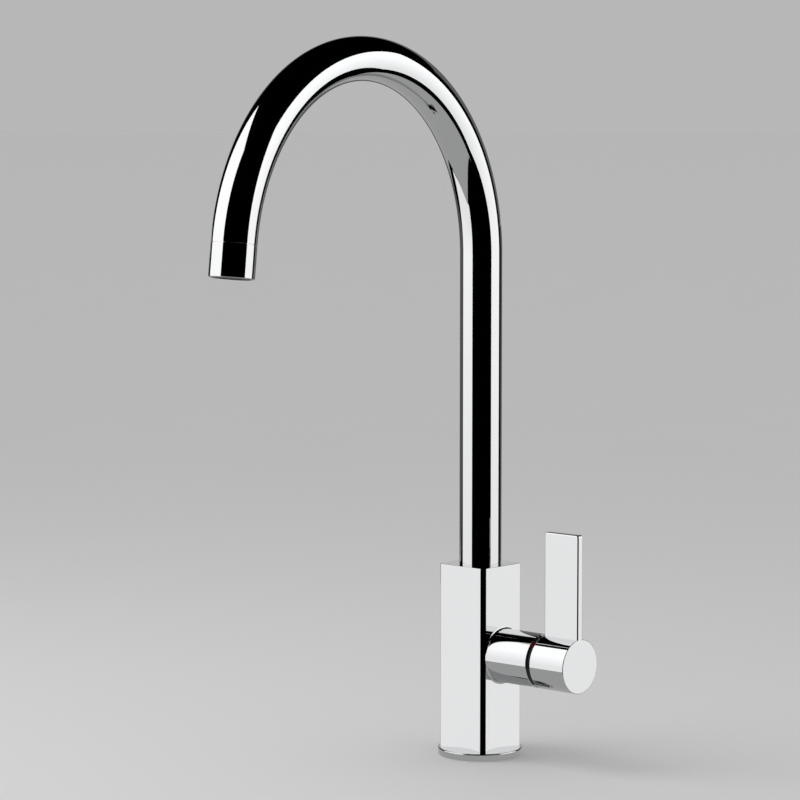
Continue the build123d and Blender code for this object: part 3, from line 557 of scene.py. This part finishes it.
def machined_finish(name, value, rough, pitch, change):
    """Turned metal: fine rings along the axis over a slow change of tone."""
    made, tree, shader = new_material(name, "ShaderNodeBsdfPrincipled", Metallic=1)
    place = object_place(tree)
    rings = noise(tree, place, scale=1 / pitch, detail=2, stretch=(0.02, 0.02, 1))
    tone = noise(tree, place, scale=160, detail=5)
    gloss = spread(tree, tone, low=rough, high=rough * MACHINED_SPREAD)
    tree.links.new(gloss, shader.inputs["Roughness"])
    tinted(tree, shader, tone, value, change)
    bump(tree, shader, rings, distance=8e-6)
    return made


def moulded_finish(name, value, rough, grain, depth, change, **constants):
    """Moulded plastic or rubber: fine grain, a slow change of tone and uneven gloss."""
    made, tree, shader = new_material(name, "ShaderNodeBsdfPrincipled", **constants)
    place = object_place(tree)
    tone = noise(tree, place, scale=120, detail=3)
    gloss = spread(tree, tone, low=rough, high=rough * MOULDED_SPREAD)
    tree.links.new(gloss, shader.inputs["Roughness"])
    tinted(tree, shader, tone, value, change)
    bump(tree, shader, noise(tree, place, scale=grain, detail=2), distance=depth)
    return made


def floor_finish(name, value):
    """Matt pale floor with a very faint mottle."""
    made, tree, shader = new_material(name, "ShaderNodeBsdfPrincipled", Specular_IOR_Level=0.1)
    mottle = noise(tree, object_place(tree), scale=6, detail=3)
    tree.links.new(spread(tree, mottle, low=0.75, high=0.85), shader.inputs["Roughness"])
    tinted(tree, shader, mottle, value, change=0.985)
    return made


def finish(slot):
    """Material for one of the record's slots, made when it is first asked for."""
    name = slot + "_finish"
    if name in bpy.data.materials:
        return bpy.data.materials[name]
    value = getattr(bpy.context.scene.tap_finishes, slot)
    if slot in MACHINED:
        return machined_finish(name, value, **MACHINED[slot])
    if slot in MOULDED:
        return moulded_finish(name, value, **MOULDED[slot])
    return chrome_finish(name, value)


# ------------------------------------------------------------- body and base
def square_outline(body, inset):
    """Square with slanting corners, moved inwards by the inset, its edges rounded to match."""
    half = body.half_width - inset
    slant = (2 * body.half_width - body.corner) / math.sqrt(2) - inset
    short = math.sqrt(2) * slant - half
    corners = [
        (half, -short), (half, short), (short, half), (-short, half),
        (-half, short), (-half, -short), (-short, -half), (short, -half),
    ]
    return rounded(corners, body.edge - inset, BODY_EDGE_STEPS)


def body_rows(body):
    """Rows of the body's skin, from the neck's end wall down, out, up the sides and into the socket.

    The outer rows are the square outline, drawn in over the top edge's quarter round; the inner
    rows are circles whose points stand at the same angles as the outline's points.
    """
    base = square_outline(body, 0)
    around = np.arctan2(base[:, 1], base[:, 0])
    circle = np.stack([np.cos(around), np.sin(around)], axis=1)
    rows = [
        (circle * 0, body.neck_top), (circle * body.neck, body.neck_top),
        (circle * body.neck, body.bottom), (base, body.bottom),
    ]
    for fall, inset in zip(*quarter_round(BODY_EDGE_STEPS)):
        outline = square_outline(body, body.edge * EDGE_SHARE * inset)
        rows.append((outline, body.top - body.edge * fall))
    bores = [
        (body.recess, body.top), (body.recess, body.recess_floor),
        (body.bush_seat, body.recess_floor), (body.bush_seat, body.bush_floor),
        (body.socket, body.bush_floor), (body.socket, body.socket_floor),
        (body.pocket, body.socket_floor), (body.pocket, body.pocket_floor), (0, body.pocket_floor),
    ]
    rows += [(circle * radius, z) for radius, z in bores]
    return np.stack([np.column_stack([flat, np.full(len(flat), z)]) for flat, z in rows])


class TAP_OT_body(Operator):
    """Square body with its socket, valve chamber, inlets and lock screw hole"""
    bl_idname = "tap.body"
    bl_label = "Body"

    def execute(self, context):
        body = context.scene.tap_body
        valve = context.scene.tap_valve
        outside = 2 * body.half_width
        piece = surface("body_casting", body_rows(body))
        chamber = bar(valve.chamber, valve.chamber_floor, outside, ROUND_COUNT)
        inlet = bar(body.inlet, body.neck_top / 2, body.neck_top + body.inlet_depth)
        hole = bar(body.lock_radius, body.socket / 2, outside)
        tools = [surface("chamber", along_x(chamber, valve.height))]
        for place in INLET_ANGLES:
            shift = body.inlet_circle * np.array([math.cos(place), math.sin(place), 0])
            tools.append(surface("inlet", inlet + shift))
        tools.append(surface("lock_hole", along_y(hole, body.lock_height)))
        combine(piece, tools, "DIFFERENCE")
        settle(piece, "tap", "polished_chrome", "body")
        return {"FINISHED"}


class TAP_OT_base(Operator):
    """Round base plate under the body"""
    bl_idname = "tap.base"
    bl_label = "Base plate"

    def execute(self, context):
        body = context.scene.tap_body
        foot = body.base_top - body.bottom * math.tan(body.base_undercut)
        corners = [
            (body.base_bore, body.bottom), (body.base_bore, body.shank_recess_depth),
            (body.shank_recess, body.shank_recess_depth), (body.shank_recess, 0),
            (body.gasket_inner, 0), (body.gasket_inner, body.gasket_depth),
            (body.gasket_outer, body.gasket_depth), (body.gasket_outer, 0),
            (foot, 0), (body.base_top, body.bottom),
        ]
        radii = [0] * 8 + [body.base_edge] * 2
        piece = surface("base_plate", lathe(rounded(corners, radii), ROUND_COUNT), close_rows=True)
        settle(piece, "tap", "polished_chrome", "base_flange")
        return {"FINISHED"}


# ------------------------------------------------------------ valve and lever
def housing_points(body, valve):
    """Sleeve round the valve axis, with a cove where it meets the body's skin.

    The skin is flat, then goes back along the slanting corners: at a distance y from its middle
    it stands at the smaller of half the width and twice that less the corner and y. The cove is a
    quarter round, concave, on that skin. Its radius shrinks where the skin leans away, by a high
    power of y over the sleeve's radius.
    """
    face = body.half_width
    corners = [
        (valve.radius, valve.end), (valve.nut_bore, valve.end),
        (valve.nut_bore, valve.nut_floor), (valve.cartridge_bore, valve.nut_floor),
        (valve.cartridge_bore, valve.spigot_start), (valve.spigot, valve.spigot_start),
        (valve.spigot, face), (valve.radius, face),
    ]
    radii = [valve.edge, valve.inner_edge, 0, 0, 0, 0, 0, 0]
    sleeve = lathe(rounded(corners, radii)[:-EDGE_STEPS - 1], ROUND_COUNT)
    around = angles_round(ROUND_COUNT)
    reach = valve.cove * (1 - COVE_LOSS * np.sin(around) ** COVE_POWER)
    outward, upward = quarter_round(COVE_STEPS)
    radius = valve.radius + reach * outward[:, None]
    y = radius * np.sin(around)
    skin = np.minimum(face, 2 * face - body.corner - np.abs(y))
    cove = np.stack([radius * np.cos(around), y, skin + reach * upward[:, None]], axis=-1)
    return along_x(np.concatenate([sleeve, cove]), valve.height)


class TAP_OT_housing(Operator):
    """Round valve housing, fitted to the body's face and slanting corners"""
    bl_idname = "tap.housing"
    bl_label = "Valve housing"

    def execute(self, context):
        points = housing_points(context.scene.tap_body, context.scene.tap_valve)
        piece = surface("housing_sleeve", points, close_rows=True)
        settle(piece, "tap", "polished_chrome", "valve_housing")
        return {"FINISHED"}


def blade_points(lever, axis_height):
    """Lever's blade: its rim's profile is carried up one side and in over the corner to the middle.

    Each row is a closed loop: the rim's rounded profile on the near side, then the same profile
    mirrored about the blade's middle. The inward direction turns with the path, so the rim keeps
    its shape round the corner, and the last row folds shut along the middle of the top.
    """
    inward, sideways = quarter_round(BLADE_EDGE_STEPS)
    inward = lever.blade_edge * np.concatenate([inward, inward[::-1]])
    side = lever.thickness / 2 - lever.blade_edge * sideways
    across = np.concatenate([side, -side[::-1]])
    middle = (lever.start + lever.end) / 2
    corner = np.linspace(0, math.pi / 2, BLADE_CORNER_STEPS + 1)
    turn = np.concatenate([corner[:1], corner, corner[-1:]])[:, None]
    centre_x = np.full(turn.shape, lever.start + lever.corner)
    centre_z = np.full(turn.shape, lever.top - lever.corner)
    centre_x[-1] = middle
    centre_z[0] = axis_height + lever.foot
    x = centre_x - np.cos(turn) * (lever.corner - inward)
    z = centre_z + np.sin(turn) * (lever.corner - inward)
    y = np.broadcast_to(across, x.shape)
    near = np.stack([x, y, z], axis=-1)
    far = np.stack([2 * middle - x, y, z], axis=-1)[:, ::-1]
    rows = np.concatenate([near, far], axis=1)
    closing = np.broadcast_to(rows[0].mean(axis=0), rows[:1].shape)
    return np.concatenate([closing, rows])


class TAP_OT_lever(Operator):
    """Hub and blade of the lever in one casting, bored for its stem, grub screw and cap"""
    bl_idname = "tap.lever"
    bl_label = "Lever"

    def execute(self, context):
        valve = context.scene.tap_valve
        lever = context.scene.tap_lever
        corners = [
            (0, lever.end), (valve.radius, lever.end), (valve.radius, lever.start),
            (lever.hollow, lever.start), (lever.hollow, lever.hollow_floor),
            (lever.stem_bore, lever.hollow_floor), (lever.stem_bore, lever.stem_floor),
            (0, lever.stem_floor),
        ]
        radii = [0, lever.edge, lever.edge, valve.inner_edge, 0, 0, 0, 0]
        hub = along_x(lathe(rounded(corners, radii), ROUND_COUNT), valve.height)
        piece = surface("lever_handle", hub)
        combine(piece, [surface("blade", blade_points(lever, valve.height))], "UNION")
        seat = valve.height - valve.radius + lever.cap_depth
        steps = np.array([
            (0, 0), (lever.cap_bore, 0), (lever.cap_bore, seat),
            (lever.grub_bore, seat), (lever.grub_bore, valve.height), (0, valve.height),
        ])
        hole = lathe(steps, SMALL_ROUND_COUNT) + np.array([lever.grub_x, 0, 0])
        combine(piece, [surface("grub_hole", hole)], "DIFFERENCE")
        settle(piece, "lever", "polished_chrome", "handle")
        return {"FINISHED"}


# ----------------------------------------------------------- spout and outlet
def spout_line(spout, travel):
    """Middle line of the spout: up the column, then round the arch.

    travel counts metres from the ground up the column; past the column's top it goes on along
    the arch. Returns the points and the direction that points away from the arch's centre.
    """
    turn = np.maximum(travel - spout.column_top, 0) / spout.arch_radius
    y = -spout.arch_radius * (1 - np.cos(turn))
    z = np.minimum(travel, spout.column_top) + spout.arch_radius * np.sin(turn)
    zero = np.zeros(len(travel))
    return np.stack([zero, y, z], axis=-1), np.stack([zero, np.cos(turn), np.sin(turn)], axis=-1)


def carried(spout, travel, radius):
    """Circles of the given radii carried along the spout's middle line and turned with it."""
    middle, outward = spout_line(spout, travel)
    around = angles_round(ROUND_COUNT)[:, None]
    side = np.array([1.0, 0, 0])
    spoke = np.cos(around) * side + np.sin(around) * outward[:, None, :]
    return turned(middle[:, None, :] + radius[:, None, None] * spoke, spout.turn)


def at_outlet(spout, points):
    """Carry points built along Z to the tube's end, their Z in the water's direction."""
    turn = spout.arch_angle
    y = -spout.arch_radius * (1 - math.cos(turn)) + points[..., 1] * math.cos(turn)
    z = spout.column_top + spout.arch_radius * math.sin(turn) + points[..., 1] * math.sin(turn)
    y = y - points[..., 2] * math.sin(turn)
    z = z + points[..., 2] * math.cos(turn)
    return turned(np.stack([points[..., 0], y, z], axis=-1), spout.turn)


class TAP_OT_spout(Operator):
    """Arched tube of the spout"""
    bl_idname = "tap.spout"
    bl_label = "Spout"

    def execute(self, context):
        spout = context.scene.tap_spout
        end = spout.column_top + spout.arch_radius * spout.arch_angle
        rim = end - spout.groove_gap
        inner = spout.radius - spout.wall
        floor = spout.radius - spout.groove
        arch = np.linspace(spout.column_top, rim - spout.groove_edge, ARCH_STEPS + 1)
        ahead, inward = quarter_round(EDGE_STEPS)
        travel = np.concatenate([
            [spout.start], spout.start + spout.foot_edge * ahead[::-1], arch,
            rim - spout.groove_edge * ahead, [rim, end, end], arch[::-1],
        ])
        radius = np.concatenate([
            [inner], spout.radius - spout.foot_edge * inward[::-1], np.full(len(arch), spout.radius),
            spout.radius - spout.groove_edge * inward, [floor, floor, inner], np.full(len(arch), inner),
        ])
        piece = surface("spout_pipe", carried(spout, travel, radius), close_rows=True)
        settle(piece, "spout", "polished_chrome", "spout_tube")
        return {"FINISHED"}


class TAP_OT_outlet(Operator):
    """Collar at the spout's end that holds the aerator"""
    bl_idname = "tap.outlet"
    bl_label = "Outlet collar"

    def execute(self, context):
        spout = context.scene.tap_spout
        floor = spout.radius - spout.groove
        corners = [
            (floor, 0), (floor, spout.groove_gap), (spout.radius, spout.groove_gap),
            (spout.radius, spout.collar), (spout.collar_bore, spout.collar),
            (spout.collar_bore, spout.seat), (spout.lip_bore, spout.seat),
            (spout.lip_bore, -spout.lip), (spout.lip_radius, -spout.lip), (spout.lip_radius, 0),
        ]
        radii = [0, 0, spout.groove_edge, spout.collar_edge, spout.mouth_edge, 0, 0, 0, 0, 0]
        points = lathe(rounded(corners, radii), ROUND_COUNT)
        piece = surface("end_collar", at_outlet(spout, points), close_rows=True)
        settle(piece, "spout", "polished_chrome", "outlet_collar")
        return {"FINISHED"}


# ---------------------------------------------------------------- fixing set
def shank_points(fix):
    """Shank's profile carried round Z, its skin cut back by the thread.

    The thread is a triangle wave along the height, one pitch further on for each turn, with its
    crest and root cut flat. It is faded in over one pitch at either end.
    """
    low = fix.shank_bottom + fix.thread_inset
    high = -fix.thread_inset
    count = int(round((high - low) / fix.pitch * ROWS_PER_PITCH))
    winding = np.linspace(low, high, count + 1)
    chamfer = fix.thread_depth
    foot = [(fix.shank - chamfer, fix.shank_bottom), (fix.shank, fix.shank_bottom + chamfer)]
    skin = np.column_stack([np.full(len(winding), fix.shank), winding])
    rest = [
        (fix.shank, fix.shoulder), (fix.neck, fix.shoulder), (fix.neck, fix.neck_top),
        (fix.neck_bore, fix.neck_top), (fix.neck_bore, -fix.web), (fix.shank_bore, -fix.web),
        (fix.shank_bore, fix.shank_bottom),
    ]
    points = lathe(np.concatenate([foot, skin, rest]), THREAD_COUNT)
    thread = points[len(foot):len(foot) + len(skin)]
    height = thread[..., 2]
    turns = np.arange(THREAD_COUNT) / THREAD_COUNT
    wave = np.abs(2 * np.mod(height / fix.pitch - turns, 1) - 1)
    fade = np.clip(np.minimum(height - low, high - height) / fix.pitch, 0, 1)
    drop = fix.thread_depth * np.clip(FLANK * wave - CREST, 0, 1) * fade
    thread[..., :2] *= (1 - drop / fix.shank)[..., None]
    return points


class TAP_OT_shank(Operator):
    """Threaded shank that goes through the worktop"""
    bl_idname = "tap.shank"
    bl_label = "Shank"

    def execute(self, context):
        points = shank_points(context.scene.tap_fixing)
        piece = surface("threaded_shank", points, close_rows=True)
        settle(piece, "tap", "raw_brass", "shank")
        return {"FINISHED"}


def nut_points(fix, top):
    """Hexagon nut: corners cut back where they reach past a circle, as a turned chamfer does.

    The hexagon's radius at an angle is the distance to its flats over the cosine of the angle
    from the nearest flat's middle; the ends drop by the corner's excess times tan 30 degrees.
    """
    low = top - fix.nut_thickness
    flat = fix.shank + fix.nut_wall
    mouth = fix.bore + fix.nut_entry
    around = angles_round(ROUND_COUNT)
    hexagon = flat / np.cos(np.mod(around, math.pi / 3) - math.pi / 6)
    face = np.minimum(hexagon, flat * NUT_CHAMFER)
    drop = (hexagon - face) * math.tan(math.pi / 6)
    rows = [
        (fix.bore, low + fix.nut_entry), (mouth, low), (face, low), (hexagon, low + drop),
        (hexagon, top - drop), (face, top), (mouth, top), (fix.bore, top - fix.nut_entry),
    ]
    radius = np.stack([np.broadcast_to(row[0], around.shape) for row in rows])
    level = np.stack([np.broadcast_to(row[1], around.shape) for row in rows])
    return np.stack([radius * np.cos(around), radius * np.sin(around), level], axis=-1)


class TAP_OT_fixing_set(Operator):
    """Rubber seal, steel washer and brass nut that clamp the tap from below"""
    bl_idname = "tap.fixing_set"
    bl_label = "Fixing set"

    def execute(self, context):
        fix = context.scene.tap_fixing
        top = fix.seal_top
        rings = [
            ("rubber_seal", "black_rubber", "deck_seal",
             fix.seal_thickness, fix.seal_width, fix.seal_edge),
            ("steel_washer", "stainless", "deck_washer",
             fix.washer_thickness, fix.washer_width, fix.washer_edge),
        ]
        for name, slot, cad_node, thickness, width, edge in rings:
            low = top - thickness
            outer = fix.bore + width
            corners = [(fix.bore, low), (outer, low), (outer, top), (fix.bore, top)]
            piece = surface(name, lathe(rounded(corners, edge), ROUND_COUNT), close_rows=True)
            settle(piece, "fixing_set", slot, cad_node)
            top = low
        piece = surface("hexagon_nut", nut_points(fix, top), close_rows=True)
        settle(piece, "fixing_set", "raw_brass", "shank_nut")
        return {"FINISHED"}


# -------------------------------------------------------------- inner pieces
class TAP_OT_inner_pieces(Operator):
    """Finishes of the pieces whose shape the frame already gives"""
    bl_idname = "tap.inner_pieces"
    bl_label = "Inner pieces"

    def execute(self, context):
        for part in frame["record"]["subparts"]:
            piece = frame["nodes"][part["node"]]
            for place in piece.material_slots:
                place.material = finish(part["material_slot"])
        return {"FINISHED"}


# -------------------------------------------------------------------- studio
def glow(name, low, high=None):
    """Surface that shines evenly, or from low at the floor's height to high at PANEL_RISE."""
    made, tree, light = new_material(name, "ShaderNodeEmission", Color=WHITE, Strength=low)
    if high is not None:
        parts = tree.nodes.new("ShaderNodeSeparateXYZ")
        tree.links.new(object_place(tree), parts.inputs["Vector"])
        rise = spread(tree, parts.outputs["Z"], low, high, start=0, end=PANEL_RISE)
        tree.links.new(rise, light.inputs["Strength"])
    return made


def stage_object(name, points, faces, made):
    """Object that belongs to the studio and not to the tap."""
    mesh = bpy.data.meshes.new(name)
    mesh.from_pydata(points, [], faces)
    mesh.materials.append(made)
    item = bpy.data.objects.new(name, mesh)
    bpy.context.scene.collection.objects.link(item)
    return item


def mirrored(name, points, faces, made):
    """Studio object that shows in mirror finishes and nowhere else."""
    item = stage_object(name, points, faces, made)
    item.visible_camera = False
    item.visible_diffuse = False
    item.visible_transmission = False
    item.visible_volume_scatter = False
    item.visible_shadow = False


def upright_card(name, made, bearing, distance, left, right, low, high):
    """Flat card that faces the tap.

    The bearing is counted in degrees from the camera's side; left and right are its edges'
    distances from its middle, and low and high its edges' heights.
    """
    bearing = CAMERA_BEARING + math.radians(bearing)
    outward = np.array([math.cos(bearing), math.sin(bearing), 0])
    side = np.array([-math.sin(bearing), math.cos(bearing), 0])
    up = np.array([0, 0, 1])
    spots = ((left, low), (right, low), (right, high), (left, high))
    corners = [outward * distance + side * reach + up * height for reach, height in spots]
    mirrored(name, corners, [(0, 1, 2, 3)], made)


def level_card(made):
    """Card below the floor that mirrors looking down see, with a lip along its right side."""
    front = np.array([math.cos(CAMERA_BEARING), math.sin(CAMERA_BEARING)])
    right = np.array([-front[1], front[0]])
    corners = [(*(front * near + right * aside), CARD_LEVEL) for near, aside in CARD_CORNERS]
    corners += [(x, y, z + CARD_LIP) for x, y, z in corners[:LIP_CORNERS]]
    mirrored("floor_card", corners, CARD_FACES, made)


def near_disc(made):
    """Small disc just under the floor, with a wall from its rim down to the level card."""
    profile = [(0, DISC_LEVEL), (DISC_RADIUS, DISC_LEVEL), (DISC_RADIUS, CARD_LEVEL)]
    points = lathe(np.array(profile), SMALL_ROUND_COUNT)
    mirrored("near_floor", points.reshape(-1, 3), quads(points), made)


def studio_world(studio):
    """Soft light all round, a pale background for the camera, and darkness for mirrors."""
    world = bpy.data.worlds.new("studio")
    world.use_nodes = True
    tree = world.node_tree
    tree.nodes.clear()
    rays = tree.nodes.new("ShaderNodeLightPath").outputs
    shown = node(tree, "ShaderNodeBackground", Color=WHITE, Strength=studio.sky)
    for ray, strength in (("Is Camera Ray", studio.backdrop), ("Is Glossy Ray", DARKNESS)):
        other = node(tree, "ShaderNodeBackground", Color=WHITE, Strength=strength)
        mixed = tree.nodes.new("ShaderNodeMixShader")
        tree.links.new(rays[ray], mixed.inputs["Fac"])
        tree.links.new(shown.outputs[0], mixed.inputs[1])
        tree.links.new(other.outputs[0], mixed.inputs[2])
        shown = mixed
    output = tree.nodes.new("ShaderNodeOutputWorld")
    tree.links.new(shown.outputs[0], output.inputs["Surface"])
    bpy.context.scene.world = world


def key_light(strength):
    """Soft round light, high up on the left of the picture."""
    light = bpy.data.lights.new("soft_key", "AREA")
    light.shape = "DISK"
    light.size = KEY_SIZE
    light.energy = strength
    item = bpy.data.objects.new("soft_key", light)
    item.location = KEY_PLACE
    item.rotation_euler = KEY_TURN
    item.visible_glossy = False
    item.visible_camera = False
    bpy.context.scene.collection.objects.link(item)


def photo_camera(scene, studio):
    """Camera at the photograph's angle, its colours shown without a film curve."""
    data = bpy.data.cameras.new("photo_camera")
    data.lens = studio.lens
    data.sensor_width = SENSOR_WIDTH
    camera = bpy.data.objects.new("photo_camera", data)
    camera.location = studio.camera_place
    camera.rotation_euler = studio.camera_turn
    scene.collection.objects.link(camera)
    scene.camera = camera
    scene.view_settings.view_transform = "Standard"


class TAP_OT_studio(Operator):
    """Pale floor, side panels, cards, soft light and camera"""
    bl_idname = "tap.studio"
    bl_label = "Studio"

    def execute(self, context):
        studio = context.scene.tap_studio
        reach = FLOOR_REACH
        corners = [(-reach, -reach, 0), (reach, -reach, 0), (reach, reach, 0), (-reach, reach, 0)]
        made = floor_finish("pale_floor", studio.floor)
        floor = stage_object("floor", corners, [(0, 1, 2, 3)], made)
        floor.visible_glossy = False
        glows = {
            "panel_white": glow("panel_white", studio.panel_low, studio.panel_high),
            "card_grey": glow("card_grey", studio.card),
            "rear_grey": glow("rear_grey", studio.rear),
            "horizon_grey": glow("horizon_grey", studio.horizon),
            "rear_floor_grey": glow("rear_floor_grey", studio.rear_floor),
        }
        for name, glow_name, *place in UPRIGHT_CARDS:
            upright_card(name, glows[glow_name], *place)
        level_card(glows["card_grey"])
        near_disc(glows["card_grey"])
        studio_world(studio)
        key_light(studio.key)
        photo_camera(context.scene, studio)
        return {"FINISHED"}


# --------------------------------------------------------------------- panel
class TAP_PT_sidebar(Panel):
    """Lists the tap's pieces and studio"""
    bl_idname = "TAP_PT_sidebar"
    bl_label = "Three way tap"
    bl_space_type = "VIEW_3D"
    bl_region_type = "UI"
    bl_category = "Tap"

    def draw(self, context):
        for operator in OPERATORS:
            self.layout.operator(operator.bl_idname)


SETTINGS = {
    "tap_body": BodySizes,
    "tap_valve": ValveSizes,
    "tap_lever": LeverSizes,
    "tap_spout": SpoutSizes,
    "tap_fixing": FixingSizes,
    "tap_finishes": FinishColours,
    "tap_studio": StudioSettings,
}
OPERATORS = [
    TAP_OT_studio, TAP_OT_inner_pieces, TAP_OT_body, TAP_OT_base, TAP_OT_housing, TAP_OT_lever,
    TAP_OT_spout, TAP_OT_outlet, TAP_OT_shank, TAP_OT_fixing_set,
]


def register():
    for group in SETTINGS.values():
        bpy.utils.register_class(group)
    for name, group in SETTINGS.items():
        setattr(bpy.types.Scene, name, PointerProperty(type=group))
    for kind in OPERATORS + [TAP_PT_sidebar]:
        bpy.utils.register_class(kind)


def unregister():
    for kind in [TAP_PT_sidebar] + OPERATORS[::-1]:
        bpy.utils.unregister_class(kind)
    for name, group in SETTINGS.items():
        delattr(bpy.types.Scene, name)
        bpy.utils.unregister_class(group)


def main():
    register()
    for operator in OPERATORS:
        group, name = operator.bl_idname.split(".")
        getattr(getattr(bpy.ops, group), name)()


if __name__ == "__main__":
    main()
